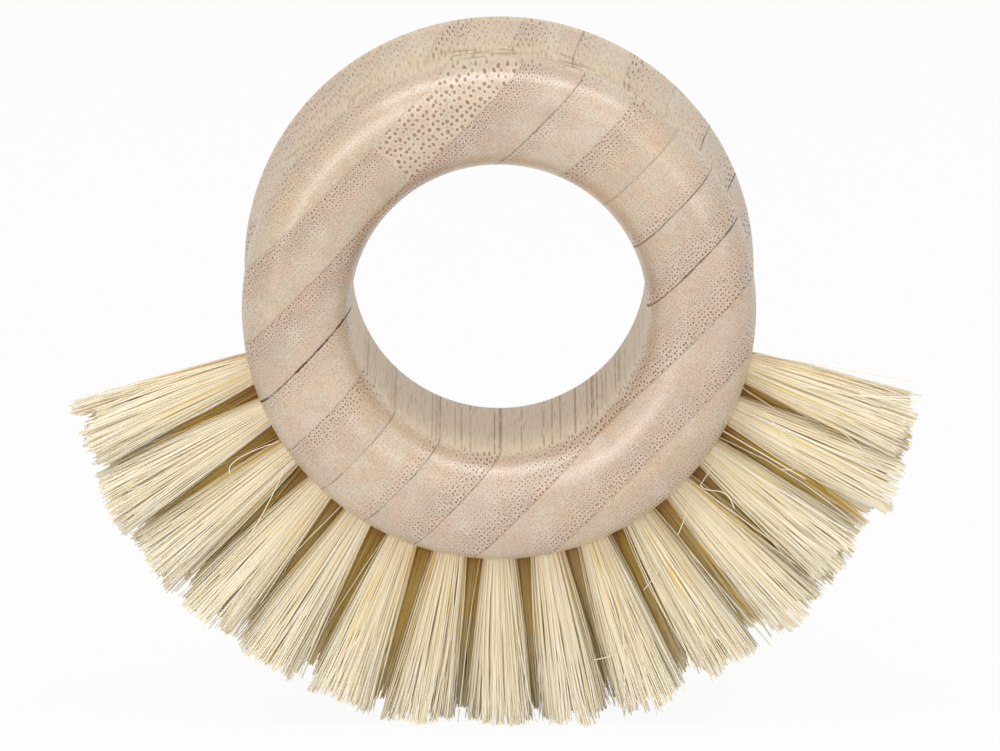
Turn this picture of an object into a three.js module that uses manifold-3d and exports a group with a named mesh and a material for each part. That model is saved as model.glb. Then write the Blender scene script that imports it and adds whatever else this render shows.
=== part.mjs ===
// Ring-handled vegetable brush: a turned ring of glued bamboo strips with two rows of plant-fibre tufts.
// Millimetres, +Z up. The brush stands on its bristles, with the front of its ring towards -Y.
// The origin is on the surface that it stands on, straight under the middle of the ring.
import * as THREE from "three";
import { mergeVertices } from "three/addons/utils/BufferGeometryUtils.js";
import Module from "manifold-3d";

const wasm = await Module();
wasm.setup();

// Ring handle, turned about the ring's axis
const RING_DIAMETER = 73;
const BORE_DIAMETER = 42;
const RING_THICKNESS = 37;
const OUTER_EDGE_RADIUS = 5.5;
const BORE_EDGE_RADIUS = 6.5;
const GROOVE_DEPTH = 2.2;

// Bamboo strips that the ring is glued from, with their glue lines sloping up to the right.
// On each side of the middle the bore parts two strips and bites into a third, up to a bridge of wood.
// The rest reach past the rim by what is turned away there. At these sizes all are equally thick.
const STRIP_THICKNESS = 7.5;
const PARTED_STRIPS = 2;
const BRIDGE_WIDTH = 1.5;
const RIM_STRIPS = 2;
const TURNING_DEPTH = 1;
const STRIP_SHIFT = -0.2;
const STRIP_SLOPE_DEGREES = 46;
const GLUE_LINE = 0.1;

// Tufts, set in drilled holes in the groove, the back row halfway between those of the front row
const FRONT_TUFTS = 15;
const TUFT_PITCH_DEGREES = 10.5;
const ROW_SPACING = 7.5;
const HOLE_DIAMETER = 4;
const HOLE_DEPTH = 8;
const TIP_RADIUS = 63;
const TUFT_TIP_DIAMETER = 8.6;
const STANDING_FLAT = 0.5;

// Strands of a tuft stand in rings round its middle, on a slice of the groove's floor
const STRANDS_IN_RINGS = [1, 4, 6];
const STRAND_ROOT_WIDTH = 0.76;
const STRAND_TIP_WIDTH = 1.2;
const SLICE_DEPTH = 1.5;

// Flat wire anchors, driven across the fold of each tuft until their ends bite into the hole
const ANCHOR_THICKNESS = 0.5;
const ANCHOR_HEIGHT = 1.6;
const ANCHOR_BITE = 0.4;
const ANCHOR_TWIST_DEGREES = 45;
const FOLD_HEIGHT = 1.2;

// Space left between pieces that touch
const CLEARANCE = 0.3;

// Steps of round shapes
const RING_STEPS = 48;
const EDGE_STEPS = 3;
const GROOVE_STEPS = 4;
const HOLE_SIDES = 8;
const STRAND_SIDES = 3;

// Sizes that follow from the ones above
const RING_RADIUS = RING_DIAMETER / 2;
const BORE_RADIUS = BORE_DIAMETER / 2;
const HALF_THICKNESS = RING_THICKNESS / 2;
const BRIDGE_RADIUS = BORE_RADIUS + BRIDGE_WIDTH;
const BLOCK_RADIUS = RING_RADIUS + TURNING_DEPTH;
const RIM_STRIP_THICKNESS = (BLOCK_RADIUS - BRIDGE_RADIUS) / RIM_STRIPS;
const CREST_HEIGHT = HALF_THICKNESS - OUTER_EDGE_RADIUS;
const GROOVE_ANGLE = 2 * Math.atan(GROOVE_DEPTH / CREST_HEIGHT);
const GROOVE_RADIUS = CREST_HEIGHT / Math.sin(GROOVE_ANGLE) - OUTER_EDGE_RADIUS;
const GROOVE_FLOOR = RING_RADIUS - GROOVE_DEPTH;
const SLICE_FLOOR = GROOVE_FLOOR - SLICE_DEPTH;
const SEAT_RADIUS = grooveRadiusAt(ROW_SPACING / 2);
const HOLE_FLOOR = SEAT_RADIUS - HOLE_DEPTH;
const PLUG_FLOOR = HOLE_FLOOR + CLEARANCE;
const PLUG_RADIUS = HOLE_DIAMETER / 2 - CLEARANCE;
const ANCHOR_LENGTH = HOLE_DIAMETER + 2 * ANCHOR_BITE;
const ANCHOR_RADIUS = PLUG_FLOOR + FOLD_HEIGHT + ANCHOR_HEIGHT / 2;
const RING_HEIGHT = TIP_RADIUS - STANDING_FLAT;
const PITCH = THREE.MathUtils.degToRad(TUFT_PITCH_DEGREES);
const BRISTLES_DOWN = -Math.PI / 2;

const bambooTones = [0xd9c2a4, 0xdcc6a2, 0xd4bb9c];
const fibreMaterial = new THREE.MeshStandardMaterial({ color: 0xe6dab0, roughness: 0.75, metalness: 0 });
const wireMaterial = new THREE.MeshStandardMaterial({ color: 0xc3c6c9, roughness: 0.4, metalness: 1 });

// Radius of the groove's surface at a height above the ring's middle
function grooveRadiusAt(height) {
  return GROOVE_FLOOR + GROOVE_RADIUS - Math.sqrt(GROOVE_RADIUS ** 2 - height ** 2);
}

// A closed geometry as a solid that can be joined and cut
function solidFrom(geometry, matrix = new THREE.Matrix4()) {
  const bare = new THREE.BufferGeometry();
  bare.setAttribute("position", geometry.getAttribute("position").clone());
  bare.setIndex(geometry.index);
  bare.applyMatrix4(matrix);
  const merged = mergeVertices(bare);
  const vertProperties = merged.getAttribute("position").array;
  const triVerts = new Uint32Array(merged.index.array);
  return new wasm.Manifold(new wasm.Mesh({ numProp: 3, vertProperties, triVerts }));
}

// A solid as a geometry to draw
function geometryFrom(solid) {
  const { vertProperties, triVerts } = solid.getMesh();
  const geometry = new THREE.BufferGeometry();
  geometry.setAttribute("position", new THREE.BufferAttribute(vertProperties, 3));
  geometry.setIndex(new THREE.BufferAttribute(triVerts, 1));
  geometry.computeVertexNormals();
  return geometry;
}

function meshFrom(name, solid, material) {
  const mesh = new THREE.Mesh(geometryFrom(solid), material);
  mesh.name = name;
  return mesh;
}

function twoDigits(number) {
  return String(number).padStart(2, "0");
}

function arcPoints(centreX, centreY, radius, from, to, steps) {
  return Array.from({ length: steps + 1 }, (_, i) => {
    const angle = from + ((to - from) * i) / steps;
    return new THREE.Vector2(centreX + radius * Math.cos(angle), centreY + radius * Math.sin(angle));
  });
}

// The whole turned ring about Z: rounded edges, a straight bore and a hollow groove round the rim
function ringSolid() {
  const quarter = Math.PI / 2;
  const boreCentre = BORE_RADIUS + BORE_EDGE_RADIUS;
  const boreHeight = HALF_THICKNESS - BORE_EDGE_RADIUS;
  const crestCentre = RING_RADIUS - OUTER_EDGE_RADIUS;
  const grooveCentre = GROOVE_FLOOR + GROOVE_RADIUS;
  const groove = arcPoints(
    grooveCentre, 0, GROOVE_RADIUS, Math.PI + GROOVE_ANGLE, Math.PI - GROOVE_ANGLE, GROOVE_STEPS,
  );
  const profile = [
    ...arcPoints(boreCentre, -boreHeight, BORE_EDGE_RADIUS, 2 * quarter, 3 * quarter, EDGE_STEPS),
    ...arcPoints(crestCentre, -CREST_HEIGHT, OUTER_EDGE_RADIUS, -quarter, 0, EDGE_STEPS),
    ...groove,
    ...arcPoints(crestCentre, CREST_HEIGHT, OUTER_EDGE_RADIUS, 0, quarter, EDGE_STEPS),
    ...arcPoints(boreCentre, boreHeight, BORE_EDGE_RADIUS, quarter, 2 * quarter, EDGE_STEPS),
  ];
  profile.push(profile[0]);
  return solidFrom(new THREE.LatheGeometry(profile, RING_STEPS).rotateX(quarter));
}

// An arched bar along the rim under a row of tufts, half a pitch longer at each end than they reach.
// It has one flat facet for each tuft, as an arc takes two steps for each segment asked for.
// The margin is added at its sides and ends.
function archedBar(seats, innerRadius, outerRadius, margin) {
  const endAngle = PITCH / 2 + margin / SEAT_RADIUS;
  const from = seats[0].angle - endAngle;
  const to = seats.at(-1).angle + endAngle;
  const width = ROW_SPACING + 2 * margin;
  const shape = new THREE.Shape();
  shape.absarc(0, 0, outerRadius, from, to, false);
  shape.absarc(0, 0, innerRadius, to, from, true);
  const settings = { depth: width, bevelEnabled: false, curveSegments: seats.length / 2 };
  const lift = new THREE.Matrix4().makeTranslation(0, 0, seats[0].height - width / 2);
  return solidFrom(new THREE.ExtrudeGeometry(shape, settings), lift);
}

// Where a tuft stands: its Y axis points out of the hole and its Z axis along the ring's axis
function tuftMatrix({ angle, height }) {
  return new THREE.Matrix4().makeRotationZ(angle - Math.PI / 2).setPosition(0, 0, height);
}

function holeSolid(seat) {
  const top = RING_RADIUS + CLEARANCE;
  const depth = top - HOLE_FLOOR;
  const geometry = new THREE.CylinderGeometry(HOLE_DIAMETER / 2, HOLE_DIAMETER / 2, depth, HOLE_SIDES);
  return solidFrom(geometry.translate(0, top - depth / 2, 0), tuftMatrix(seat));
}

// A tuft's folded end, from the slice down to the floor of its hole
function plugSolid(seat) {
  const top = SLICE_FLOOR + SLICE_DEPTH / 2;
  const depth = top - PLUG_FLOOR;
  const geometry = new THREE.CylinderGeometry(PLUG_RADIUS, PLUG_RADIUS, depth, HOLE_SIDES);
  return solidFrom(geometry.translate(0, top - depth / 2, 0), tuftMatrix(seat));
}

// A flat wire across the fold, turned across the grain. The margin makes the room that is cut for it.
function anchorSolid(seat, margin = 0) {
  const geometry = new THREE.BoxGeometry(
    ANCHOR_LENGTH + 2 * margin, ANCHOR_HEIGHT + 2 * margin, ANCHOR_THICKNESS + 2 * margin,
  );
  geometry.rotateY(THREE.MathUtils.degToRad(ANCHOR_TWIST_DEGREES)).translate(0, ANCHOR_RADIUS, 0);
  return solidFrom(geometry, tuftMatrix(seat));
}

// A tapered strand between two points of its tuft
function strandSolid(root, tip, seat) {
  const along = new THREE.Vector3().subVectors(tip, root);
  const geometry = new THREE.CylinderGeometry(
    STRAND_TIP_WIDTH / 2, STRAND_ROOT_WIDTH / 2, along.length(), STRAND_SIDES,
  );
  const up = new THREE.Vector3(0, 1, 0);
  const turn = new THREE.Quaternion().setFromUnitVectors(up, along.clone().normalize());
  const middle = new THREE.Vector3().addVectors(root, tip).multiplyScalar(0.5);
  geometry.applyQuaternion(turn).translate(middle.x, middle.y, middle.z);
  return solidFrom(geometry, tuftMatrix(seat));
}

// The strands of one tuft, spreading from its hole to the trimmed outline
function tuftStrands(seat) {
  const rootY = SLICE_FLOOR + SLICE_DEPTH / 2;
  const outerRing = STRANDS_IN_RINGS.length - 1;
  const rootStep = (HOLE_DIAMETER - STRAND_ROOT_WIDTH) / 2 / outerRing;
  const tipStep = (TUFT_TIP_DIAMETER - STRAND_TIP_WIDTH) / 2 / outerRing;
  return STRANDS_IN_RINGS.flatMap((count, ring) =>
    Array.from({ length: count }, (_, i) => {
      const turn = (2 * Math.PI * i) / count;
      const aside = ring * Math.sin(turn);
      const across = ring * Math.cos(turn);
      const tipY = Math.sqrt(TIP_RADIUS ** 2 - (aside * tipStep) ** 2);
      const root = new THREE.Vector3(aside * rootStep, rootY, across * rootStep);
      const tip = new THREE.Vector3(aside * tipStep, tipY, across * tipStep);
      return strandSolid(root, tip, seat);
    }),
  );
}

// A row of tuft seats, evenly spaced about straight down, from the left to the right
function rowOfSeats(count, height) {
  return Array.from({ length: count }, (_, i) => {
    return { angle: BRISTLES_DOWN + (i - (count - 1) / 2) * PITCH, height };
  });
}

// What lies under the surface that the brush stands on, which flattens the lowest tips
function groundSolid() {
  const geometry = new THREE.BoxGeometry(3 * TIP_RADIUS, TIP_RADIUS, 2 * RING_THICKNESS);
  return solidFrom(geometry.translate(0, -RING_HEIGHT - TIP_RADIUS / 2, 0));
}

// Tufts that stand side by side, fused to one slice of the groove's floor
function tuftBank(seats) {
  const slice = archedBar(seats, SLICE_FLOOR, SEAT_RADIUS, -CLEARANCE / 2);
  const tufts = seats.flatMap((seat) => [
    plugSolid(seat).subtract(anchorSolid(seat, CLEARANCE)),
    ...tuftStrands(seat),
  ]);
  return wasm.Manifold.union([slice, ...tufts]).subtract(groundSolid());
}

// The shallow channel in the groove that a row's slices lie in
function channelSolid(seats) {
  return archedBar(seats, SLICE_FLOOR - CLEARANCE, RING_RADIUS + CLEARANCE, CLEARANCE / 2);
}

// Places of the glue lines across the block, from its upper left side to its lower right
function glueLines() {
  const parted = Array.from({ length: PARTED_STRIPS }, (_, i) => (i + 1) * STRIP_THICKNESS);
  const beyond = Array.from({ length: RIM_STRIPS }, (_, i) => BRIDGE_RADIUS + i * RIM_STRIP_THICKNESS);
  const lowerRight = [...parted, ...beyond, BLOCK_RADIUS];
  const upperLeft = lowerRight.map((place) => -place).reverse();
  return [...upperLeft, 0, ...lowerRight].map((place) => STRIP_SHIFT + place);
}

// The ring cut along its glue lines. A strip that the bore parts is two pieces, a left and a right one.
function bambooStrips(ring) {
  const slope = THREE.MathUtils.degToRad(STRIP_SLOPE_DEGREES);
  const along = new THREE.Vector2(Math.cos(slope), Math.sin(slope));
  const place = (piece) => {
    const { min, max } = piece.boundingBox();
    return along.dot(new THREE.Vector2(min[0] + max[0], min[1] + max[1]));
  };
  const lines = glueLines();
  return lines.slice(1).flatMap((end, i) => {
    const start = lines[i];
    const slab = new THREE.BoxGeometry(2 * RING_DIAMETER, end - start - GLUE_LINE, 2 * RING_THICKNESS);
    slab.translate(0, -(start + end) / 2, 0).rotateZ(slope);
    const pieces = ring.intersect(solidFrom(slab)).decompose();
    pieces.sort((a, b) => place(a) - place(b));
    const colour = bambooTones[(i + 1) % bambooTones.length];
    const material = new THREE.MeshStandardMaterial({ color: colour, roughness: 0.55, metalness: 0 });
    const strip = `bamboo_strip_${twoDigits(i + 1)}`;
    const names = pieces.length === 1 ? [strip] : [`${strip}_left`, `${strip}_right`];
    return pieces.map((piece, j) => meshFrom(names[j], piece, material));
  });
}

const frontSeats = rowOfSeats(FRONT_TUFTS, ROW_SPACING / 2);
const backSeats = rowOfSeats(FRONT_TUFTS - 1, -ROW_SPACING / 2);
const rows = { front: frontSeats, back: backSeats };

const cuts = Object.values(rows).flatMap((seats) => [
  channelSolid(seats),
  ...seats.flatMap((seat) => [holeSolid(seat), anchorSolid(seat, CLEARANCE)]),
]);
const drilledRing = ringSolid().subtract(wasm.Manifold.union(cuts));

const brush = new THREE.Group();
brush.add(...bambooStrips(drilledRing));

for (const [row, seats] of Object.entries(rows)) {
  const half = Math.ceil(seats.length / 2);
  brush.add(meshFrom(`${row}_tufts_left`, tuftBank(seats.slice(0, half)), fibreMaterial));
  brush.add(meshFrom(`${row}_tufts_right`, tuftBank(seats.slice(half)), fibreMaterial));
  seats.forEach((seat, i) => {
    brush.add(meshFrom(`${row}_anchor_${twoDigits(i + 1)}`, anchorSolid(seat), wireMaterial));
  });
}

// The ring is modelled flat about Z, then stood up with its front towards -Y
brush.rotation.x = Math.PI / 2;
brush.position.z = RING_HEIGHT;

const part = new THREE.Group();
part.add(brush);

export default part;
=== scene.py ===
"""Looks of a ring-handled vegetable brush: a ring of glued bamboo strips and two rows of fibre tufts."""
import logging
import math
from dataclasses import dataclass, field
from enum import Enum
from typing import Any, Union

import bmesh
import bpy
import numpy as np
from bpy.types import ID, ColorRamp, Material, Mesh, NodeSocket, NodeTree, Object
from mathutils import Color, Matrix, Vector


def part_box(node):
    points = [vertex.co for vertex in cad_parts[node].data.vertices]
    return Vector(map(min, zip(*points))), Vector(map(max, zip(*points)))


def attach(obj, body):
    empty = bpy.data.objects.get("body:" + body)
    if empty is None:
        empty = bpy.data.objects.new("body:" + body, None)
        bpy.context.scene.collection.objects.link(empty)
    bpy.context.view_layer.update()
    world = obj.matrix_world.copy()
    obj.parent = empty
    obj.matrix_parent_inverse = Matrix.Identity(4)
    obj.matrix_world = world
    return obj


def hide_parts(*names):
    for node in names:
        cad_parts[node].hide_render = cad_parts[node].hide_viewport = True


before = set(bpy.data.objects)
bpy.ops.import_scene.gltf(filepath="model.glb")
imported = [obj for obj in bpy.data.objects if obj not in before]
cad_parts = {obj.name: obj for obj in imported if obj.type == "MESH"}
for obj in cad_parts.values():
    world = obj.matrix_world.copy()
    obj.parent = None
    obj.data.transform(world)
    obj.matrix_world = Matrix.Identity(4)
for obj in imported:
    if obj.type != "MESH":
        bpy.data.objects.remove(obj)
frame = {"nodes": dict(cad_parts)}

MM = 0.001
BODY = "root"
THROUGH = Vector((0, 1, 0))
NOISE_MIDDLE = 0.5
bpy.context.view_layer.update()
ROW_SPACING = 7.5 * MM
FRONT_TUFTS = 15
# The back row's tufts stand halfway between those of the front row.
BACK_TUFTS = FRONT_TUFTS - 1
TIP_RADIUS = 63.5 * MM
BACK_ROOT_RADIUS = 2.0 * MM

log = logging.getLogger("brush")

Colour = tuple[float, float, float, float]
Range = tuple[float, float]
Value = Union["Signal", float]
Inputs = dict[Union[str, int], Any]


def srgb(red: int, green: int, blue: int) -> Colour:
    """A colour as it is seen, 0 to 255 a channel, as linear light with full alpha."""
    seen = Color((red / 255, green / 255, blue / 255))
    return *seen.from_srgb_to_scene_linear(), 1.0


class Signal:
    """One output of a node. Used in an expression on values, it adds the Math nodes that the sum needs."""

    def __init__(self, sheet: "NodeSheet", socket: NodeSocket) -> None:
        """Keeps the sheet of nodes and the output."""
        self.sheet = sheet
        self.socket = socket

    def other(self, output: str) -> "Signal":
        """Another output of the same node."""
        return Signal(self.sheet, self.socket.node.outputs[output])

    def math(self, operation: str, first: Value, second: Value = 0.0) -> "Signal":
        """A Math node on one or two values."""
        return self.sheet.node("ShaderNodeMath", {"operation": operation}, {0: first, 1: second})

    def __add__(self, other: Value) -> "Signal":
        """Sum."""
        return self.math("ADD", self, other)

    def __radd__(self, other: Value) -> "Signal":
        """Sum with a number in front."""
        return self.math("ADD", other, self)

    def __sub__(self, other: Value) -> "Signal":
        """Difference."""
        return self.math("SUBTRACT", self, other)

    def __rsub__(self, other: Value) -> "Signal":
        """Difference from a number."""
        return self.math("SUBTRACT", other, self)

    def __mul__(self, other: Value) -> "Signal":
        """Product."""
        return self.math("MULTIPLY", self, other)

    def __rmul__(self, other: Value) -> "Signal":
        """Product with a number in front."""
        return self.math("MULTIPLY", other, self)

    def __abs__(self) -> "Signal":
        """Size without its sign."""
        return self.math("ABSOLUTE", self)

    def least(self, other: Value) -> "Signal":
        """The smaller of two values."""
        return self.math("MINIMUM", self, other)

    def most(self, other: Value) -> "Signal":
        """The larger of two values."""
        return self.math("MAXIMUM", self, other)

    def spread(self, low: Value, high: Value) -> "Signal":
        """A value from 0 to 1, spread from low to high."""
        return self * (high - low) + low

    def ease(self, start: Value, end: Value) -> "Signal":
        """A smooth step from 0 at start to 1 at end, whichever of them is larger."""
        settings = {"interpolation_type": "SMOOTHSTEP"}
        return self.sheet.node("ShaderNodeMapRange", settings, {0: self, 1: start, 2: end, 3: 0.0, 4: 1.0})


class NodeSheet:
    """A node tree that is written by calls, with a method for any node and short ones for common uses."""

    def __init__(self, tree: NodeTree) -> None:
        """Empties the tree and keeps it."""
        self.tree = tree
        tree.nodes.clear()

    def node(self, kind: str, settings: dict[str, Any] | None = None, inputs: Inputs | None = None,
             output: str | int = 0) -> Signal | None:
        """Adds a node, sets it up and fills its sockets.

        Args:
            kind: The node's type.
            settings: Its properties. The name stops gives a ramp's places and colours.
            inputs: Numbers, colours or signals for its sockets, by name or number.
            output: The output that is wanted.

        Returns:
            The wanted output, or None from a node that has no outputs.
        """
        node = self.tree.nodes.new(kind)
        for name, value in (settings or {}).items():
            if name == "stops":
                self._set_stops(node.color_ramp, value)
            else:
                setattr(node, name, value)
        for key, value in (inputs or {}).items():
            if isinstance(value, Signal):
                self.tree.links.new(value.socket, node.inputs[key])
            else:
                node.inputs[key].default_value = value
        return Signal(self, node.outputs[output]) if node.outputs else None

    @staticmethod
    def _set_stops(ramp: ColorRamp, stops: list[tuple[float, Colour]]) -> None:
        """Gives a ramp its stops, in order."""
        while len(ramp.elements) < len(stops):
            ramp.elements.new(1.0)
        for element, (place, colour) in zip(ramp.elements, stops):
            element.position = place
            element.color = colour

    def mix(self, share: Value, first: Signal | Colour, second: Signal | Colour,
            mode: str = "MIX") -> Signal:
        """The first colour, with a share of the second laid on it in a mode."""
        settings = {"data_type": "RGBA", "blend_type": mode}
        return self.node("ShaderNodeMix", settings, {0: share, 6: first, 7: second}, 2)

    def vector(self, x: Value, y: Value, z: Value = 0.0) -> Signal:
        """A vector of three values."""
        return self.node("ShaderNodeCombineXYZ", None, {0: x, 1: y, 2: z})

    def along(self, place: Signal, direction: Vector) -> Signal:
        """How far a place lies along a direction, in millimetres."""
        inputs = {0: place, 1: tuple(direction / MM)}
        return self.node("ShaderNodeVectorMath", {"operation": "DOT_PRODUCT"}, inputs, "Value")

    def noise(self, place: Signal, scale: float, detail: float = 2.0, roughness: float = 0.5) -> Signal:
        """Soft noise about 0.5 at a place."""
        inputs = {"Vector": place, "Scale": scale, "Detail": detail, "Roughness": roughness}
        return self.node("ShaderNodeTexNoise", None, inputs)

    def finish(self, inputs: Inputs) -> None:
        """Ends a material with a Principled shader."""
        surface = self.node("ShaderNodeBsdfPrincipled", None, inputs)
        self.node("ShaderNodeOutputMaterial", None, {0: surface})

    def bump(self, height: Signal, strength: float, distance: float) -> Signal:
        """A bumped normal from a height."""
        inputs = {"Strength": strength, "Distance": distance, "Height": height}
        return self.node("ShaderNodeBump", None, inputs)


def new_material(name: str) -> tuple[Material, NodeSheet]:
    """An empty node material.

    Args:
        name: The material's name.

    Returns:
        The material and the sheet that its nodes are written on.
    """
    material = bpy.data.materials.new(name)
    material.use_nodes = True
    return material, NodeSheet(material.node_tree)


def put(name: str, data: ID) -> Object:
    """A new object in the scene."""
    thing = bpy.data.objects.new(name, data)
    bpy.context.scene.collection.objects.link(thing)
    return thing


def add_piece(mesh: Mesh, material: Material, node: str) -> None:
    """Puts a finished mesh into the scene as a piece of the brush, under the mesh's name.

    Args:
        mesh: The piece's mesh, in the frame's place.
        material: Its finish.
        node: The CAD node that it stands for.
    """
    piece = put(mesh.name, mesh)
    mesh.materials.append(material)
    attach(piece, BODY)
    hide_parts(node)
    log.info("%s: %d faces, for %s", piece.name, len(mesh.polygons), node)


class Crowd(Enum):
    """The side of a strip, seen from the front, that its fibre bundles crowd to."""

    UPPER_LEFT = "upper left"
    LOWER_RIGHT = "lower right"


class Half(Enum):
    """The half of a strip that a piece holds, where the bore parts it."""

    WHOLE = ""
    LEFT = "_left"
    RIGHT = "_right"


@dataclass(frozen=True)
class StripLook:
    """How one bamboo strip differs from the others.

    Attributes:
        crowd: The side that its fibre bundles crowd to.
        reach: How far in from there they crowd, as a share of the strip's width.
        pale: Colour of the wood between loose bundles.
        deep: Its colour between crowded ones.
        joint: How dark the glue line after it is, at its lower left and at its upper right.
        pitch: Mean distance between bundles, in millimetres.
        tight: How dark crowded bundles are.
        loose: How dark loose ones are.
        splice: Where a coarser piece starts along the strip, in millimetres.
    """

    crowd: Crowd
    reach: float
    pale: Colour
    deep: Colour
    joint: Range
    pitch: float = 0.54
    tight: float = 1.0
    loose: float = 0.6
    splice: float | None = None


STRIP_LOOKS = {
    "01": StripLook(Crowd.UPPER_LEFT, 0.9, srgb(197, 175, 143), srgb(172, 147, 116), (0.1, 0.1),
                    pitch=0.56, tight=0.7),
    "02": StripLook(Crowd.UPPER_LEFT, 0.75, srgb(196, 175, 146), srgb(163, 137, 109), (0.2, 0.1),
                    splice=5.6),
    "03": StripLook(Crowd.UPPER_LEFT, 0.8, srgb(193, 173, 148), srgb(160, 135, 111), (1.0, 0.5),
                    pitch=0.52),
    "04": StripLook(Crowd.UPPER_LEFT, 0.45, srgb(201, 182, 156), srgb(184, 163, 139), (0.25, 0.1),
                    tight=0.7, loose=0.45),
    "05": StripLook(Crowd.UPPER_LEFT, 0.75, srgb(196, 172, 143), srgb(178, 152, 124), (0.45, 0.3),
                    loose=0.65),
    "06": StripLook(Crowd.LOWER_RIGHT, 0.5, srgb(201, 181, 154), srgb(188, 165, 139), (0.5, 0.65),
                    pitch=0.56, tight=0.8, loose=0.55),
    "07": StripLook(Crowd.LOWER_RIGHT, 0.9, srgb(194, 174, 148), srgb(175, 151, 128), (0.4, 0.8)),
    "08": StripLook(Crowd.LOWER_RIGHT, 0.95, srgb(195, 174, 150), srgb(176, 151, 128), (0.35, 0.3),
                    pitch=0.56),
    "09": StripLook(Crowd.LOWER_RIGHT, 0.75, srgb(197, 174, 149), srgb(174, 147, 121), (0.2, 0.2)),
    "10": StripLook(Crowd.LOWER_RIGHT, 0.9, srgb(197, 172, 142), srgb(180, 154, 123), (0.0, 0.0),
                    pitch=0.56, tight=0.8),
}


@dataclass
class GlueFrame:
    """Directions of the glued block: across its strips and along them."""

    centre: Vector
    slope: float = math.radians(46)

    @property
    def across(self) -> Vector:
        """Unit vector across the strips, from the first to the last."""
        return Vector((math.sin(self.slope), 0, -math.cos(self.slope)))

    @property
    def along(self) -> Vector:
        """Unit vector along the strips, up to the right."""
        return Vector((math.cos(self.slope), 0, math.sin(self.slope)))


@dataclass(frozen=True)
class Bundles:
    """Fibre bundles cut across, one to a cell, a little uneven in size and darkness."""

    pitch: float
    wobble: float = 0.12
    wobble_scale: float = 1.5
    stretch: float = 0.92
    scatter: float = 0.5
    sizes: Range = (0.8, 1.2)
    darkness: Range = (0.8, 1.0)
    edge: Range = (1.25, 0.6)
    rim: Range = (2.4, 1.3)

    def masks(self, sheet: NodeSheet, across: Signal, along: Signal, size: Value) -> tuple[Signal, Signal]:
        """The bundles on a face.

        Args:
            sheet: Where the nodes go.
            across: Place across the strips, in millimetres.
            along: Place along the strips, in millimetres.
            size: Radius of a bundle, as a share of the pitch.

        Returns:
            Two masks: the bundles, and the pale rims round them.
        """
        place = sheet.vector(across * self.stretch, along)
        noise = sheet.noise(place, self.wobble_scale / self.pitch, 1.0).other("Color")
        amount = (self.wobble * self.pitch, self.wobble * self.pitch, 0.0)
        settings = {"operation": "MULTIPLY_ADD"}
        place = sheet.node("ShaderNodeVectorMath", settings, {0: noise, 1: amount, 2: place})
        settings = {"voronoi_dimensions": "2D"}
        inputs = {"Vector": place, "Scale": 1 / self.pitch, "Randomness": self.scatter}
        distance = sheet.node("ShaderNodeTexVoronoi", settings, inputs, "Distance")
        chance = sheet.node("ShaderNodeSeparateColor", None, {0: distance.other("Color")})
        radius = chance.spread(*self.sizes) * size
        dark = chance.other("Green").spread(*self.darkness)
        edges = (self.edge, self.rim)
        bundles, rims = (distance.ease(radius * outer, radius * inner) * dark for outer, inner in edges)
        return bundles, rims


@dataclass(frozen=True)
class GlueLine:
    """The thin dark line of a glued joint, uneven and broken. Lengths are in millimetres."""

    width: float = 0.19
    wander: float = 0.2
    break_stretch: float = 0.3
    break_level: float = 4.0
    break_step: Range = (0.3, 0.65)
    upper_part: Range = (-8.0, 8.0)
    middle_part: Range = (0.4, 0.6)
    broken_width: Range = (0.5, 1.0)
    joint_width: Range = (0.6, 1.1)
    broken_dark: Range = (0.6, 1.0)

    def mask(self, sheet: NodeSheet, across: Signal, along: Signal, depth: Signal, strip: Range,
             joints: tuple[Range, Range]) -> Signal:
        """The glue on both sides of a strip.

        Args:
            sheet: Where the nodes go.
            across: Place across the strips.
            along: Place along the strips.
            depth: Place through the ring.
            strip: Where the strip starts and ends across the block.
            joints: How dark its first and its last glue line are, each at both ends.

        Returns:
            A mask, 1 in the darkest glue.
        """
        start, end = strip
        noise = sheet.noise(sheet.vector(along, depth), scale=1.5, detail=3.0)
        wander = (noise - NOISE_MIDDLE) * self.wander
        nearest = abs(across - start - wander).least(abs(across - end - wander))
        place = sheet.vector(along, depth * self.break_stretch, self.break_level)
        unbroken = sheet.noise(place, scale=0.6, detail=3.0).ease(*self.break_step)
        upper = along.ease(*self.upper_part)
        first, last = (upper.spread(*ends) for ends in joints)
        near_end = across.ease(*(start + part * (end - start) for part in self.middle_part))
        joint = near_end.spread(first, last)
        width = self.width * unbroken.spread(*self.broken_width) * joint.spread(*self.joint_width)
        return nearest.ease(width, 0.0) * joint * unbroken.spread(*self.broken_dark)


@dataclass(frozen=True)
class TornMarks:
    """Short brown strokes that the turning tool tore in the groove. Lengths are in millimetres."""

    rim: Range = (32.0, 33.5)
    groove: Range = (6.5, 2.0)
    groove_middle: float = -1.0
    patch_step: Range = (0.4, 0.52)
    stroke_length: float = 0.4
    stroke_width: float = 1.8
    stroke_step: Range = (0.52, 0.6)

    def mask(self, sheet: NodeSheet, across: Signal, along: Signal, depth: Signal) -> Signal:
        """The strokes on a strip.

        Args:
            sheet: Where the nodes go.
            across: Place across the strips.
            along: Place along the strips.
            depth: Place through the ring.

        Returns:
            A mask, 1 in the strokes.
        """
        place = sheet.vector(across, along)
        reach = sheet.node("ShaderNodeVectorMath", {"operation": "LENGTH"}, {0: place}, "Value")
        in_groove = abs(depth - self.groove_middle).ease(*self.groove)
        patches = sheet.noise(sheet.vector(across, along, depth), scale=0.12, detail=1.0)
        length = self.stroke_length
        place = sheet.vector(across * length, along * length, depth * self.stroke_width)
        strokes = sheet.noise(place, scale=0.7, roughness=0.6).ease(*self.stroke_step)
        return strokes * patches.ease(*self.patch_step) * reach.ease(*self.rim) * in_groove


@dataclass(frozen=True)
class Tint:
    """A colour, and how much of it shows where its mask is 1."""

    colour: Colour | Signal
    share: float = 1.0


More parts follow.
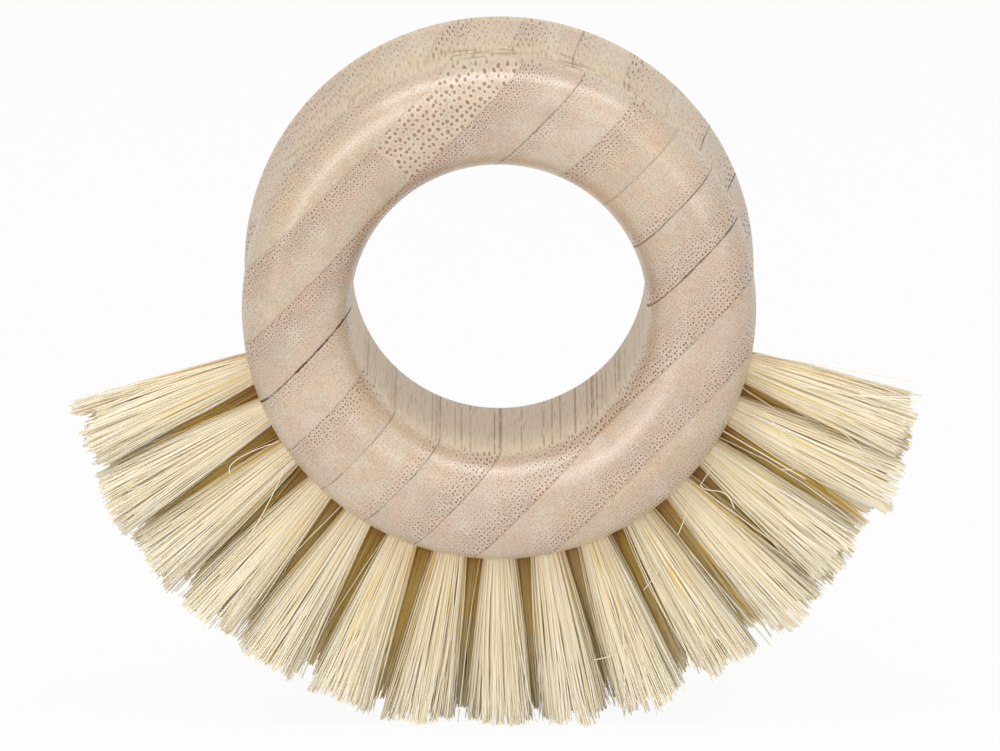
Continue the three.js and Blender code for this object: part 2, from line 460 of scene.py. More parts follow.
@dataclass(frozen=True)
class BambooFinish:
    """End grain of sanded bamboo: dark fibre bundles, fine fibre, glue lines and a satin oil.

    Lengths are in millimetres.
    """

    bundle: Colour = srgb(122, 69, 30)
    streak: Colour = srgb(146, 108, 62)
    rosy: Tint = Tint(srgb(203, 162, 129), 0.5)
    bloom: Tint = Tint(srgb(215, 198, 181), 0.4)
    side: Tint = Tint(srgb(222, 199, 160), 0.8)
    fleck: Tint = Tint(srgb(236, 224, 206), 0.36)
    speck: Tint = Tint(srgb(122, 69, 30), 0.58)
    rim: Tint = Tint(srgb(222, 203, 180), 0.6)
    torn: Tint = Tint(srgb(140, 92, 46), 0.75)
    glue: Tint = Tint(srgb(58, 34, 22))
    rosy_patch: Range = (0.45, 0.7)
    bloom_patch: Range = (0.5, 0.25)
    grain_step: float = 0.22
    side_turn: Range = (0.35, 0.05)
    fibre_stretch: float = 0.06
    break_width: float = 1.5
    break_stretch: float = 0.16
    break_step: Range = (0.34, 0.5)
    break_share: float = 0.8
    ragged: float = 4.0
    size: float = 0.25
    growth: Range = (0.65, 1.1)
    splice: Bundles = Bundles(0.93, wobble=0.45)
    splice_size: float = 0.28
    splice_edge: float = 0.1
    splice_front: Range = (1.0, -1.0)
    splice_shift: float = 57.0
    splice_dark: float = 0.85
    splice_pale: float = 0.8
    crowd_deep: float = 0.75
    mottle_deep: float = 1.5
    least_deep: float = 0.1
    roughness: float = 0.42
    bundle_rough: float = 0.2
    glue_rough: float = 0.4
    side_rough: float = 0.15
    grain_rough: float = 0.12
    grain_height: float = 0.4
    glue_sink: float = 1.5
    relief: float = 0.06 * MM
    oil: float = 0.9
    oil_roughness: float = 0.36
    oil_index: float = 1.95
    bundle_dry: float = 0.4
    side_dry: float = 0.5

    def material(self, name: str, look: StripLook, block: GlueFrame, strip: Range,
                 joint_before: Range) -> Material:
        """The finish of one strip.

        Args:
            name: The material's name.
            look: What sets the strip apart.
            block: Directions of the glued block.
            strip: Where the strip starts and ends across the block, in millimetres from its middle.
            joint_before: How dark the glue line at its start is, at its lower left and upper right.

        Returns:
            The material.
        """
        material, sheet = new_material(name)
        place = sheet.node("ShaderNodeTexCoord", None, None, "Object")
        facing = sheet.node("ShaderNodeTexCoord", None, None, "Normal")
        across = sheet.along(place, block.across) - block.centre.dot(block.across) / MM
        along = sheet.along(place, block.along) - block.centre.dot(block.along) / MM
        depth = sheet.along(place, THROUGH)
        side_grain = abs(sheet.along(facing, THROUGH * MM)).ease(*self.side_turn)

        fibre_depth = depth * self.fibre_stretch
        fibre_place = sheet.vector(across, along, fibre_depth)
        mottle = sheet.noise(fibre_place, scale=0.25, detail=3.0) - NOISE_MIDDLE
        blush = sheet.noise(sheet.vector(along, across, fibre_depth), scale=0.3)
        grain = sheet.noise(fibre_place, scale=3.2, detail=4.0, roughness=0.75) - NOISE_MIDDLE

        start, end = strip
        inward = across - start if look.crowd is Crowd.UPPER_LEFT else end - across
        crowd = (inward + mottle * self.ragged).ease(look.reach * (end - start), 0.0)
        size = self.size * crowd.spread(*self.growth)
        share = crowd.spread(look.loose, look.tight)
        bundles, rims = (mask * share for mask in Bundles(look.pitch).masks(sheet, across, along, size))
        if look.splice is not None:
            beyond = along.ease(look.splice - self.splice_edge, look.splice + self.splice_edge)
            beyond = beyond * depth.ease(*self.splice_front)
            coarse = self.splice.masks(sheet, across, along + self.splice_shift, self.splice_size)
            bundles = bundles * (1 - beyond) + coarse[0] * beyond * self.splice_dark
            rims = rims * (1 - beyond) + coarse[1] * beyond
            crowd = crowd * (1 - beyond * self.splice_pale)
        width = self.break_width
        place = sheet.vector(across * width, along * width, depth * self.break_stretch)
        unbroken = sheet.noise(place, scale=1.0, detail=1.0).ease(*self.break_step) * self.break_share
        bundles = bundles * (1 - side_grain * (1 - unbroken))
        glue = GlueLine().mask(sheet, across, along, depth, strip, (joint_before, look.joint))

        deep = crowd * self.crowd_deep + mottle * self.mottle_deep + self.least_deep
        base = sheet.mix(deep.ease(0.0, 1.0), look.pale, look.deep)
        layers = [
            (blush.ease(*self.rosy_patch), self.rosy),
            (blush.ease(*self.bloom_patch), self.bloom),
            (side_grain, self.side),
            (grain.ease(0.0, self.grain_step), self.fleck),
            (grain.ease(0.0, -self.grain_step), self.speck),
            (rims * (1 - side_grain), self.rim),
            (bundles, Tint(sheet.mix(side_grain, self.bundle, self.streak))),
            (TornMarks().mask(sheet, across, along, depth), self.torn),
            (glue, self.glue),
        ]
        for mask, tint in layers:
            base = sheet.mix(mask * tint.share, base, tint.colour)

        rough = bundles * self.bundle_rough + glue * self.glue_rough
        rough = rough + side_grain * self.side_rough + grain * self.grain_rough
        height = grain * self.grain_height - bundles - glue * self.glue_sink
        oiled = (self.oil - bundles * self.bundle_dry) * (1 - side_grain * self.side_dry) * (1 - glue)
        sheet.finish({
            "Base Color": base,
            "Roughness": self.roughness + rough,
            "Coat Weight": oiled,
            "Coat Roughness": self.oil_roughness,
            "Coat IOR": self.oil_index,
            "Normal": sheet.bump(height, strength=0.6, distance=self.relief),
        })
        return material


@dataclass
class RingHandle:
    """The ring, turned from the glued block: its section, and its cut into strips."""

    centre: Vector
    outer_radius: float
    half_thickness: float
    bore_radius: float = 21 * MM
    outer_edge: float = 5.5 * MM
    bore_edge: float = 6.5 * MM
    groove_depth: float = 2.2 * MM
    glue_gap: float = 0.005 * MM
    cad_gap: float = 0.1 * MM
    turns: int = 240
    edge_steps: int = 16
    bore_steps: int = 14
    wall_steps: int = 6
    same_place: float = 1e-8
    same_way: float = 0.9999
    finish: BambooFinish = field(default_factory=BambooFinish)

    @classmethod
    def from_frame(cls, nodes: dict[str, Object]) -> "RingHandle":
        """Takes the ring's middle and size from the boxes of the strips.

        Args:
            nodes: The CAD nodes by name.

        Returns:
            The ring.
        """
        boxes = [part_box(name) for name in nodes if name.startswith("bamboo_strip")]
        low = Vector(map(min, *(box[0] for box in boxes)))
        high = Vector(map(max, *(box[1] for box in boxes)))
        middle = (low + high) / 2
        return cls(middle, (high.z - low.z) / 2, (high.y - low.y) / 2)

    def __post_init__(self) -> None:
        """Works out the sizes that follow from the driving ones."""
        self.block = GlueFrame(self.centre)
        self.bore_at = self.bore_radius + self.bore_edge
        self.bore_height = self.half_thickness - self.bore_edge
        self.crest_at = self.outer_radius - self.outer_edge
        self.crest_height = self.half_thickness - self.outer_edge
        self.groove_angle = 2 * math.atan(self.groove_depth / self.crest_height)
        self.groove_radius = self.crest_height / math.sin(self.groove_angle) - self.outer_edge
        self.groove_axis = self.outer_radius - self.groove_depth + self.groove_radius

    def groove_at(self, height: float) -> float:
        """Radius of the groove's surface at a height above the ring's middle plane."""
        return self.groove_axis - math.sqrt(self.groove_radius ** 2 - height ** 2)

    def profile(self) -> list[Range]:
        """The ring's section, once round.

        Returns:
            Points as radius and height above the middle plane, in order.
        """

        def arc(radius_at: float, height_at: float, size: float, start: float, end: float,
                steps: int) -> list[Range]:
            """Points of an arc, without its last one."""
            angles = (start + (end - start) * i / steps for i in range(steps))
            return [(radius_at + size * math.cos(a), height_at + size * math.sin(a)) for a in angles]

        quarter = math.pi / 2
        turn = self.groove_angle
        bore, edge, groove = self.bore_edge, self.outer_edge, self.groove_radius
        wall = (1 - 2 * i / self.wall_steps for i in range(self.wall_steps))
        return [
            *arc(self.bore_at, -self.bore_height, bore, 2 * quarter, 3 * quarter, self.bore_steps),
            (self.bore_at, -self.half_thickness),
            *arc(self.crest_at, -self.crest_height, edge, -quarter, turn, self.edge_steps),
            *arc(self.groove_axis, 0, groove, math.pi + turn, math.pi - turn, self.edge_steps),
            *arc(self.crest_at, self.crest_height, edge, -turn, quarter, self.edge_steps),
            (self.crest_at, self.half_thickness),
            *arc(self.bore_at, self.bore_height, bore, quarter, 2 * quarter, self.bore_steps),
            *((self.bore_radius, self.bore_height * share) for share in wall),
        ]

    def normal_at(self, place: Vector) -> Vector:
        """The turned surface's own direction at a place on it.

        Args:
            place: A point on the surface.

        Returns:
            A unit vector out of the wood.
        """
        offset = place - self.centre
        radius = math.hypot(offset.x, offset.z)
        height = abs(offset.y)
        side = math.copysign(1.0, offset.y)
        groove_end = self.crest_height - self.outer_edge * math.sin(self.groove_angle)
        if radius < self.bore_at:
            outward, upward = radius - self.bore_at, max(height - self.bore_height, 0.0)
        elif radius < self.crest_at:
            outward, upward = 0.0, 1.0
        elif height > groove_end:
            outward, upward = radius - self.crest_at, height - self.crest_height
        else:
            outward, upward = self.groove_axis - radius, -height
        normal = Vector((offset.x / radius * outward, upward * side, offset.z / radius * outward))
        return normal.normalized()

    def whole(self) -> bmesh.types.BMesh:
        """The whole turned ring as a closed mesh."""
        mesh = bmesh.new()
        section = self.profile()
        rings = []
        for step in range(self.turns):
            angle = 2 * math.pi * step / self.turns
            out = Vector((math.sin(angle), 0, math.cos(angle)))
            rings.append([mesh.verts.new(self.centre + out * r + Vector((0, y, 0))) for r, y in section])
        for step, ring in enumerate(rings):
            after = rings[(step + 1) % self.turns]
            for i in range(len(section)):
                j = (i + 1) % len(section)
                mesh.faces.new((ring[i], after[i], after[j], ring[j]))
        bmesh.ops.recalc_face_normals(mesh, faces=mesh.faces)
        return mesh

    def strip_mesh(self, ring: bmesh.types.BMesh, name: str, low: float, high: float,
                   half: Half) -> Mesh:
        """The part of the ring between two glue lines.

        Args:
            ring: The whole ring, which is copied.
            name: The new mesh's name.
            low: Where the strip starts across the block.
            high: Where it ends.
            half: Which half of it to keep.

        Returns:
            The closed mesh, shaded by the turned surface's own directions.
        """
        across, along = self.block.across, self.block.along
        part = ring.copy()
        cuts = [(self.centre + across * low, -across), (self.centre + across * high, across)]
        if half is not Half.WHOLE:
            cuts.append((self.centre, along if half is Half.LEFT else -along))
        for point, outward in cuts:
            whole = [*part.verts, *part.edges, *part.faces]
            bmesh.ops.bisect_plane(part, geom=whole, dist=self.same_place, plane_co=point,
                                   plane_no=outward, clear_outer=True)
            bmesh.ops.holes_fill(part, edges=[edge for edge in part.edges if edge.is_boundary])
        bmesh.ops.recalc_face_normals(part, faces=part.faces)
        mesh = bpy.data.meshes.new(name)
        part.to_mesh(mesh)
        part.free()
        directions = []
        for face in mesh.polygons:
            glued = abs(face.normal.dot(across)) > self.same_way
            for corner in face.loop_indices:
                place = mesh.vertices[mesh.loops[corner].vertex_index].co
                directions.append(face.normal if glued else self.normal_at(place))
        mesh.polygons.foreach_set("use_smooth", [True] * len(mesh.polygons))
        mesh.normals_split_custom_set(directions)
        return mesh

    def build(self, nodes: dict[str, Object]) -> None:
        """Makes and dresses each strip in the place of its CAD node.

        Args:
            nodes: The CAD nodes by name.
        """
        ring = self.whole()
        materials: dict[str, Material] = {}
        before = (0.0, 0.0)
        for node in sorted(name for name in nodes if name.startswith("bamboo_strip")):
            number = node.removeprefix("bamboo_strip_")[:2]
            half = Half(node.removeprefix(f"bamboo_strip_{number}"))
            look = STRIP_LOOKS[number]
            places = [(v.co - self.centre).dot(self.block.across) for v in nodes[node].data.vertices]
            low, high = min(places), max(places)
            if number not in materials:
                strip = low / MM, high / MM
                finish = self.finish.material(f"bamboo_{number}", look, self.block, strip, before)
                materials[number] = finish
                before = look.joint
            reach = self.cad_gap / 2 - self.glue_gap
            mesh = self.strip_mesh(ring, f"strip_{number}{half.value}", low - reach, high + reach, half)
            add_piece(mesh, materials[number], node)
        ring.free()


@dataclass(frozen=True)
class FibreFinish:
    """Stiff plant fibre, straw to cream, each fibre of its own tone; painted shade at the roots and between
    the rows, painted light at the tips.
    """

    cream: Colour = srgb(254, 246, 226)
    straw: Colour = srgb(248, 234, 201)
    gold: Colour = srgb(245, 211, 120)
    # The colour of painted shade, multiplied in near the roots and most on the fibres that face the other
    # row.
    inner: Colour = srgb(188, 132, 56)
    straw_tones: Range = (0.3, 0.62)
    streak_tone: float = 0.35
    # Fibres turn paler towards their tips: painted light that lifts the shadowed tips.
    tip_part: Range = (0.5, 1.0)
    tip_painted_light: float = 0.3
    # Fibres that face the other row turn towards gold along most of their length: painted shade between the
    # rows.
    hidden_part: Range = (1.8, 0.6)
    hidden_painted_shade: float = 0.75
    root_part: Range = (0.5, 0.1)
    root_shade: Range = (0.15, 0.95)
    roughness: float = 0.5
    streak_rough: float = 0.2
    shine: float = 0.15

    def material(self) -> Material:
        """The finish that all tufts share.

        Returns:
            The material.
        """
        material, sheet = new_material("plant_fibre")
        facts = sheet.node("ShaderNodeAttribute", {"attribute_name": "fibre"}, None, "Color")
        tone = sheet.node("ShaderNodeSeparateColor", None, {0: facts})
        along = tone.other("Green")
        place = sheet.node("ShaderNodeTexCoord", None, None, "Object")
        streak = sheet.noise(place, scale=260.0) - NOISE_MIDDLE
        straw = [(place, self.straw) for place in self.straw_tones]
        stops = [(0.0, self.gold), *straw, (1.0, self.cream)]
        # How much painted shade a fibre gets, from how far it faces the other row.
        hidden = tone.other("Blue")
        tone = tone + streak * self.streak_tone + along.ease(*self.tip_part) * self.tip_painted_light
        tone = tone - hidden * along.ease(*self.hidden_part) * self.hidden_painted_shade
        colour = sheet.node("ShaderNodeValToRGB", {"stops": stops}, {0: tone})
        # Painted shade: darker near the root, most on the sides that face the other row.
        shade = hidden.spread(*self.root_shade) * along.ease(*self.root_part)
        colour = sheet.mix(shade, colour, self.inner, "MULTIPLY")
        sheet.finish({
            "Base Color": colour,
            "Roughness": self.roughness + streak * self.streak_rough,
            "Specular IOR Level": self.shine,
        })
        return material


# A fibre has four sides, so that its ends are quads as its walls are.
SIDES = 4
# How far a fibre's shading turns from its own roundness to the tuft's.
SHADE_LEAN = 0.55


def unit(vectors: np.ndarray) -> np.ndarray:
    """The same directions with length 1."""
    return vectors / np.linalg.norm(vectors, axis=-1, keepdims=True)


def fibre_mesh(name: str, lines: np.ndarray, radii: np.ndarray, facts: np.ndarray, facing: np.ndarray,
               draw: np.random.Generator) -> Mesh:
    """Closed fibres along lines, as one mesh.

    Args:
        name: The mesh's name.
        lines: Points of each fibre, from its root to its tip.
        radii: The fibre's radius at each of those points.
        facts: Tone, place along the fibre and shade at each of those points.
        facing: The way that each fibre faces out of its tuft.
        draw: The source of chance for the fibres' twist.

    Returns:
        The mesh, with the facts in its attribute fibre.
    """
    total, rings = lines.shape[:2]
    forward = unit(np.gradient(lines, axis=1))
    first = unit(np.cross(forward, THROUGH))
    second = np.cross(forward, first)
    turn = draw.uniform(0, math.pi, total)[:, None] + np.arange(SIDES) * 2 * math.pi / SIDES
    skin = (
        np.cos(turn)[:, None, :, None] * first[:, :, None]
        + np.sin(turn)[:, None, :, None] * second[:, :, None]
    )
    points = lines[:, :, None] + radii[..., None, None] * skin
    points[..., 2] = np.maximum(points[..., 2], 0.0)

    corners = np.arange(rings * SIDES).reshape(rings, SIDES)
    after = np.roll(corners, -1, 1)
    walls = np.stack((corners[:-1], after[:-1], after[1:], corners[1:]), -1).reshape(-1, SIDES)
    one = np.concatenate((walls, corners[:1, ::-1], corners[-1:]))
    faces = (np.arange(total)[:, None, None] * rings * SIDES + one).reshape(-1, SIDES)
    mesh = bpy.data.meshes.new(name)
    mesh.from_pydata(points.reshape(-1, 3).tolist(), [], faces.tolist())
    mesh.polygons.foreach_set("use_smooth", [True] * len(mesh.polygons))
    values = np.ones((total, rings, SIDES, 4), np.float32)
    values[..., :3] = facts[:, :, None]
    mesh.attributes.new("fibre", "FLOAT_COLOR", "POINT").data.foreach_set("color", values.ravel())
    # Only the sides that face out of the tuft turn: the others keep their own shading.
    outward = (skin * facing[:, None, None]).sum(axis=3, keepdims=True)
    turned = SHADE_LEAN * np.clip(1 + 2 * outward, 0, 1)
    normals = unit(skin * (1 - turned) + facing[:, None, None] * turned)
    mesh.normals_split_custom_set_from_vertices(normals.reshape(-1, 3).tolist())
    return mesh


# Lean in degrees and extra length in millimetres of the tufts that stand out of line, by number.
FRONT_HABITS = {
    1: (6.5, -1.6), 2: (4.0, -0.3), 3: (2.5, -0.4), 4: (1.5, -0.3), 5: (1.0, -0.3), 6: (0.0, -0.4),
    7: (0.0, 0.4), 8: (0.0, 0.7), 13: (0.0, -0.5), 14: (1.0, -0.7), 15: (-5.0, -1.8),
}
BACK_HABITS = {
    1: (5.0, -2.0), 2: (4.5, -1.2), 3: (3.0, -1.2), 4: (2.0, -1.2), 5: (0.0, -1.0), 6: (0.0, -0.8),
    9: (0.0, -0.4), 10: (0.0, -0.4), 11: (0.0, -0.6), 12: (-2.0, -0.8), 13: (-3.0, -1.2), 14: (-5.0, -2.5),
}


@dataclass(frozen=True)
class Chance:
    """How unlike the fibres of a tuft are: spreads, ranges, and the tone's mean and spread."""

    turn: float = 0.4
    shell: Range = (0.9, 1.0)
    core: Range = (0.3, 0.94)
    strays: Range = (0.5, 1.0)
    points: Range = (0.15, 1.0)
    tip: float = 0.5 * MM
    stray_tip: Range = (4.0 * MM, 2.0 * MM)
    bow: float = 0.3 * MM
    tilt: float = 0.35 * MM
    pull: Range = (0.2, 0.75)
    point_cut: float = 0.9 * MM
    cut: float = 0.5 * MM
    short: float = 0.06
    short_by: Range = (1.0 * MM, 7.0 * MM)
    floor: float = 0.35 * MM
    taper: Range = (0.05, 0.5)
    radius: Range = (0.75, 1.25)
    tone: Range = (0.62, 0.24)


@dataclass
class TuftRow:
    """A row of tufts that fan out of the rim's groove."""

    name: str
    ring: RingHandle
    count: int
    offset: float
    tip_radius: float
    habits: dict[int, Range]
    pitch: float = math.radians(10.5)
    shell: int = 240
    core: int = 160
    strays: int = 10
    clumps: int = 17
    root_radius: float = 1.5 * MM
    root_depth: float = 3.0 * MM
    tip_spread: float = 4.7 * MM
    splay: float = 0.8 * MM
    fibre_radius: float = 0.112 * MM
    floor: float = 0.05 * MM
    flare: float = 1.2
    gather_from: float = 0.4
    gather_loss: float = 0.35
    taper_from: float = 0.6
    # Core fibres get a darker golden tone: painted shade in the tuft's crevices.
    core_painted_shade: float = -0.22
    core_pull: float = 0.3
    stray_bow: float = 3.0
    # How much painted shade the fibres get, rising towards the other row.
    hidden: float = 0.4
    hidden_slope: float = 1.1
    chance: Chance = Chance()
    steps: tuple[float, ...] = (0.0, 0.22, 0.45, 0.66, 0.84, 1.0)

    def disc(self, draw: np.random.Generator, count: int, away: Range) -> np.ndarray:
        """Even turns round a disc of radius 1, each between two distances from its middle.

        Args:
            draw: The source of chance.
            count: How many places.
            away: The least and the greatest distance from the middle.

        Returns:
            The places, as one row of two numbers each.
        """
        uneven = self.chance.turn
        turn = (np.arange(count) + draw.uniform(-uneven, uneven, count)) * 2 * math.pi / count
        reach = np.sqrt(draw.uniform(away[0] ** 2, away[1] ** 2, count))
        return reach[:, None] * np.stack((np.cos(turn), np.sin(turn)), 1)

    def tuft_mesh(self, name: str, angle: float, lean: float, trim: float,
                  draw: np.random.Generator) -> Mesh:
        """One tuft of tapering fibres that spread from the hole and gather in points at the trimmed end.

        Args:
            name: The mesh's name.
            angle: Where the tuft stands, from straight down towards the right.
            lean: How far it leans from there, up on the right of the brush.
            trim: How much longer it was cut than the others.
            draw: The source of chance for this tuft.

        Returns:
            The mesh.
        """
        chance = self.chance
        bundle = self.shell + self.core
        total = bundle + self.strays
        place = np.concatenate((
            self.disc(draw, self.shell, chance.shell),
            draw.permutation(self.disc(draw, self.core, chance.core)),
            self.disc(draw, self.strays, chance.strays),
        ))
        points = self.disc(draw, self.clumps, chance.points)
        point = np.argmin(((place[:, None] - points) ** 2).sum(2), 1)
        to_point = (points[point] - place) * self.tip_spread

        steps = np.array(self.steps)
        grow = (steps ** self.flare)[None, :, None]
        gathered = np.clip((steps - self.gather_from) / (1 - self.gather_from), 0, 1)
        gather = (gathered ** 2)[None, :, None]
        sway = np.sin(math.pi * steps)[None, :, None]
        tip = place * self.tip_spread + draw.normal(0, chance.tip, (total, 2))
        tip[bundle:] += draw.uniform(-1.0, 1.0, (self.strays, 2)) * chance.stray_tip
        bow = draw.normal(0, chance.bow, (total, 2))
        bow[bundle:] *= self.stray_bow
        length = self.tip_radius - self.ring.outer_radius
        tilt = np.array((math.tan(lean) * length, math.copysign(self.splay, self.offset)))
        tilt += draw.normal(0, chance.tilt, 2)
        pull = draw.uniform(*chance.pull, total)
        pull[self.shell:bundle] *= self.core_pull
        aside = (
            place[:, None] * self.root_radius * (1 - grow)
            + (tip + tilt)[:, None] * grow
            + to_point[:, None] * pull[:, None, None] * gather
            + bow[:, None] * sway
        )

        start = self.ring.groove_at(self.offset) - self.root_depth
        end = self.tip_radius + trim + draw.normal(0, chance.point_cut, self.clumps)[point]
        end -= np.linalg.norm(to_point, axis=1) * self.gather_loss
        end -= np.abs(draw.normal(0, chance.cut, total))
        short = draw.uniform(0, 1, total) < chance.short
        end -= np.where(short, draw.uniform(*chance.short_by, total), 0.0)
        outward = start + (end - start)[:, None] * steps
        out = np.array((math.sin(angle), 0, -math.cos(angle)))
        across = np.array((math.cos(angle), 0, math.sin(angle)))
        centre = np.array(self.ring.centre) + (0, self.offset, 0)
        lines = centre + outward[..., None] * out + aside[..., :1] * across + aside[..., 1:] * (0, 1, 0)
        lowest = self.floor + draw.uniform(0, chance.floor, total)
        lines[..., 2] = np.maximum(lines[..., 2], lowest[:, None])

        thinned = np.clip((steps - self.taper_from) / (1 - self.taper_from), 0, 1)
        taper = 1 - draw.uniform(*chance.taper, total)[:, None] * thinned
        radii = self.fibre_radius * draw.uniform(*chance.radius, total)[:, None] * taper
        facts = np.empty((*lines.shape[:2], 3))
        tone = draw.normal(*chance.tone, total)
        # Painted shade: the core fibres, seen in the crevices, are darker.
        tone[self.shell:bundle] += self.core_painted_shade
        slope = math.copysign(self.hidden_slope, self.offset) / self.tip_spread
        facts[..., 0] = np.clip(tone, 0, 1)[:, None]
        facts[..., 1] = steps
        # Painted shade, more on the side that faces the other row.
        facts[..., 2] = np.clip(self.hidden - slope * aside[..., 1], 0, 1)
        facing = unit(place[:, :1] * across + place[:, 1:] * (0, 1, 0))
        return fibre_mesh(name, lines, radii, facts, facing, draw)

    def build(self, material: Material) -> None:
        """Makes the row's tufts, each a piece that stands for its bank of CAD strands.

        Args:
            material: The fibre finish.
        """
        left = math.ceil(self.count / 2)
        for i in range(self.count):
            angle = (i - (self.count - 1) / 2) * self.pitch
            draw = np.random.default_rng([len(self.name), i])
            lean, trim = self.habits.get(i + 1, (0.0, 0.0))
            name = f"{self.name}_tuft_{i + 1:02d}"
            mesh = self.tuft_mesh(name, angle, math.radians(lean), trim * MM, draw)
            bank = f"{self.name}_tufts_{'left' if i < left else 'right'}"
            add_piece(mesh, material, bank)


# Single fibres that lie across the front tufts: millimetres to the right of and above the ring's middle.
LOOSE_FIBRES = [
    [(31.0, -23.0), (29.9, -25.0), (28.7, -27.2)],
    [(28.7, -27.2), (30.2, -27.8), (31.8, -28.0), (32.9, -29.0), (33.6, -30.7)],
    [(27.3, -29.4), (26.4, -32.0), (25.5, -34.6)],
    [(22.7, -39.9), (21.6, -41.3), (20.7, -42.6)],
    [(13.6, -53.0), (15.8, -52.2), (18.0, -51.4)],
    [(31.9, -19.2), (37.6, -22.4), (43.7, -26.3)],
    [(37.8, -16.4), (42.4, -23.0), (40.1, -24.9)],
    [(36.5, -7.9), (46.1, -9.4), (58.5, -11.9)],
    [(-36.1, -8.8), (-47.8, -11.2), (-60.2, -14.1)],
    [(-31.4, -20.8), (-37.2, -23.1), (-38.3, -25.5)],
    [(-30.7, -25.1), (-35.4, -34.1), (-39.8, -39.4)],
]


@dataclass
class LooseFibres:
    """Single fibres that have come loose and lie across the front tufts."""

    ring: RingHandle
    depth: float = -7.6 * MM
    lift: float = 0.9 * MM
    radius: float = 0.08 * MM
    points: int = 12
    tone: float = 0.6
    part: float = 0.8
    seed: int = 77

    def line(self, places: list[Range]) -> np.ndarray:
        """A smooth line through given points, bowed out to the front.

        Args:
            places: Millimetres to the right of and above the ring's middle.

        Returns:
            The points of the line.
        """
        known = np.linspace(0, 1, len(places))
        wanted = np.linspace(0, 1, self.points)
        degree = len(places) - 1
        right, up = (np.polyval(np.polyfit(known, values, degree), wanted) for values in zip(*places))
        away = self.depth - self.lift * np.sin(math.pi * wanted)
        return np.array(self.ring.centre) + np.stack((right * MM, away, up * MM), 1)

    def build(self, material: Material) -> None:
        """Makes each loose fibre as a piece of the bank of tufts that it lies on.

        Args:
            material: The fibre finish.
        """
        draw = np.random.default_rng(self.seed)
        for i, places in enumerate(LOOSE_FIBRES):
            line = self.line(places)[None]
            facts = np.tile((self.tone, self.part, 0.0), (1, self.points, 1))
            radii = np.full((1, self.points), self.radius)
            facing = np.array(((0.0, -1.0, 0.0),))
            mesh = fibre_mesh(f"loose_fibre_{i + 1:02d}", line, radii, facts, facing, draw)
            bank = "front_tufts_left" if places[0][0] < 0 else "front_tufts_right"
            add_piece(mesh, material, bank)


@dataclass(frozen=True)
class WireFinish:
    """Drawn flat steel wire with fine lines along it."""

    steel: Colour = srgb(190, 193, 196)
    dull: Colour = srgb(150, 152, 154)
    roughness: Range = (0.25, 0.5)

    def material(self) -> Material:
        """The finish of the anchors.

        Returns:
            The material.
        """
        material, sheet = new_material("anchor_wire")
        place = sheet.node("ShaderNodeTexCoord", None, None, "Object")
        lines = sheet.noise(place, scale=1800.0, detail=3.0)
        sheet.finish({
            "Base Color": sheet.mix(lines, self.steel, self.dull),
            "Metallic": 1.0,
            "Roughness": lines.spread(*self.roughness),
        })
        return material

    def dress(self, nodes: dict[str, Object]) -> None:
        """Gives the finish to the CAD's own anchors.

        Args:
            nodes: The CAD nodes by name.
        """
        material = self.material()
        for name, node in nodes.items():
            if "_anchor_" in name:
                node.data.materials.clear()
                node.data.materials.append(material)
                log.info("%s: drawn wire", name)


class Lamp(Enum):
    """A kind of light, by Blender's name for it."""

    FAR = "SUN"
    SOFTBOX = "AREA"


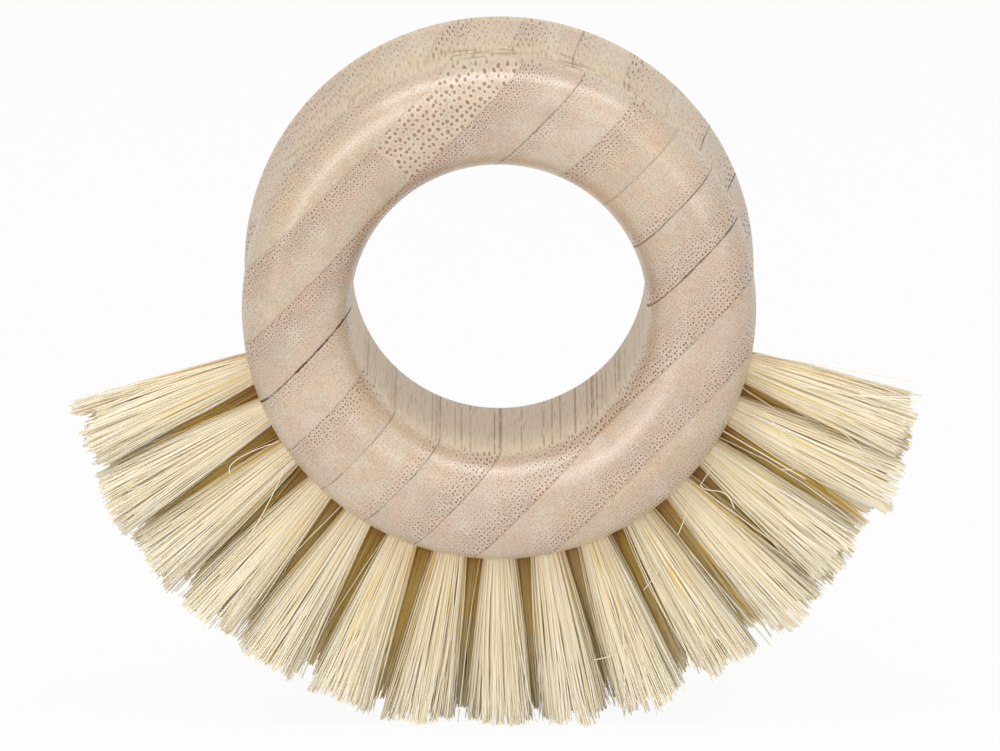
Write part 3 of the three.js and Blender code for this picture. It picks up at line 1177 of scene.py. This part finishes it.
@dataclass
class Studio:
    """A pale floor, soft light and the camera."""

    ring: RingHandle
    elevation: float = math.radians(14.1)
    distance: float = 2.35
    pixels_per_metre: float = 7011
    image_width: int = 1000
    sensor: float = 36.0
    aim_below: float = 12.6 * MM
    aim_aside: float = 0.14 * MM
    floor_radius: float = 4.0
    sky: float = 0.3
    floor_glow: float = 0.93
    clip: Range = (0.1, 20.0)

    def backdrop_share(self, sheet: NodeSheet) -> Signal:
        """1 for the rays that should see a white background."""
        path = sheet.node("ShaderNodeLightPath", None, None, "Is Camera Ray")
        return path.most(path.other("Is Glossy Ray")).most(path.other("Is Transmission Ray"))

    def floor(self) -> None:
        """A white floor that keeps the brush's shadow."""
        mesh = bpy.data.meshes.new("floor")
        disc = bmesh.new()
        bmesh.ops.create_circle(disc, cap_ends=True, segments=64, radius=self.floor_radius)
        disc.to_mesh(mesh)
        disc.free()
        floor = put("floor", mesh)
        material, sheet = new_material("pale_floor")
        plain = sheet.node("ShaderNodeBsdfDiffuse", None, {"Color": (0.9, 0.9, 0.9, 1)})
        white = sheet.node("ShaderNodeEmission", None, {"Color": (1, 1, 1, 1), "Strength": 1.0})
        share = self.backdrop_share(sheet) * self.floor_glow
        mixed = sheet.node("ShaderNodeMixShader", None, {0: share, 1: plain, 2: white})
        sheet.node("ShaderNodeOutputMaterial", None, {0: mixed})
        mesh.materials.append(material)

    def world(self) -> None:
        """An even grey sky that looks white behind the brush."""
        world = bpy.data.worlds.new("sky")
        bpy.context.scene.world = world
        world.use_nodes = True
        sheet = NodeSheet(world.node_tree)
        light = sheet.node("ShaderNodeBackground", None, {"Color": (1, 1, 1, 1), "Strength": self.sky})
        white = sheet.node("ShaderNodeBackground", None, {"Color": (1, 1, 1, 1), "Strength": 1.0})
        mixed = sheet.node("ShaderNodeMixShader", None, {0: self.backdrop_share(sheet), 1: light, 2: white})
        sheet.node("ShaderNodeOutputWorld", None, {0: mixed})

    def light(self, name: str, kind: Lamp, place: Vector, power: float, **shape: Any) -> None:
        """Hangs a light that is turned to the brush. Only softboxes leave a highlight.

        Args:
            name: Its name.
            kind: Whether it is far away or a softbox.
            place: Where it hangs, from the ring's middle.
            power: Its power in watts, if it is far away for each square metre that faces it.
            shape: Its angle, or the shape and size of its face, as Blender names them.
        """
        data = bpy.data.lights.new(name, kind.value)
        data.energy = power
        for setting, value in shape.items():
            setattr(data, setting, value)
        lamp = put(name, data)
        lamp.location = self.ring.centre + place
        lamp.rotation_mode = "QUATERNION"
        lamp.rotation_quaternion = place.to_track_quat("Z", "Y")
        lamp.visible_glossy = kind is Lamp.SOFTBOX
        lamp.visible_camera = False

    def camera(self) -> None:
        """The camera at the photograph's angle, with its long lens."""
        view = Vector((0, math.cos(self.elevation), -math.sin(self.elevation)))
        up = Vector((0, math.sin(self.elevation), math.cos(self.elevation)))
        aim = self.ring.centre - up * self.aim_below + Vector((self.aim_aside, 0, 0))
        data = bpy.data.cameras.new("camera")
        data.sensor_width = self.sensor
        data.lens = self.pixels_per_metre * self.distance * self.sensor / self.image_width
        data.clip_start, data.clip_end = self.clip
        camera = put("camera", data)
        camera.location = aim - view * self.distance
        camera.rotation_mode = "QUATERNION"
        camera.rotation_quaternion = view.to_track_quat("-Z", "Y")
        bpy.context.scene.camera = camera

    def build(self) -> None:
        """Sets up the whole studio."""
        self.camera()
        self.floor()
        self.world()
        self.light("front_light", Lamp.FAR, Vector((-0.03, -0.97, 0.24)), 0.71, angle=math.radians(9))
        self.light("back_light", Lamp.FAR, Vector((0.15, 0.9, 0.4)), 0.6, angle=math.radians(60))
        softboxes = [
            ("left_light", Vector((-0.5, -1.1, 0.36)), 3.3, 0.3, 0.8),
            ("right_light", Vector((0.5, -1.1, 0.36)), 1.3, 0.22, 0.8),
            ("top_light", Vector((0.0, -0.25, 0.92)), 4.8, 1.4, 0.25),
        ]
        for name, place, power, length, width in softboxes:
            self.light(name, Lamp.SOFTBOX, place, power, shape="RECTANGLE", size=length, size_y=width)
        bpy.context.scene.view_settings.view_transform = "Standard"


def main() -> None:
    """Builds the studio and the brush, piece by piece."""
    logging.basicConfig(level=logging.INFO, format="%(name)s: %(message)s")
    nodes = frame["nodes"]
    ring = RingHandle.from_frame(nodes)
    Studio(ring).build()
    ring.build(nodes)
    fibre = FibreFinish().material()
    front = TuftRow("front", ring, FRONT_TUFTS, -ROW_SPACING / 2, TIP_RADIUS, FRONT_HABITS)
    front.build(fibre)
    back = TuftRow("back", ring, BACK_TUFTS, ROW_SPACING / 2, TIP_RADIUS, BACK_HABITS,
                   root_radius=BACK_ROOT_RADIUS)
    back.build(fibre)
    LooseFibres(ring).build(fibre)
    WireFinish().dress(nodes)


if __name__ == "__main__":
    main()
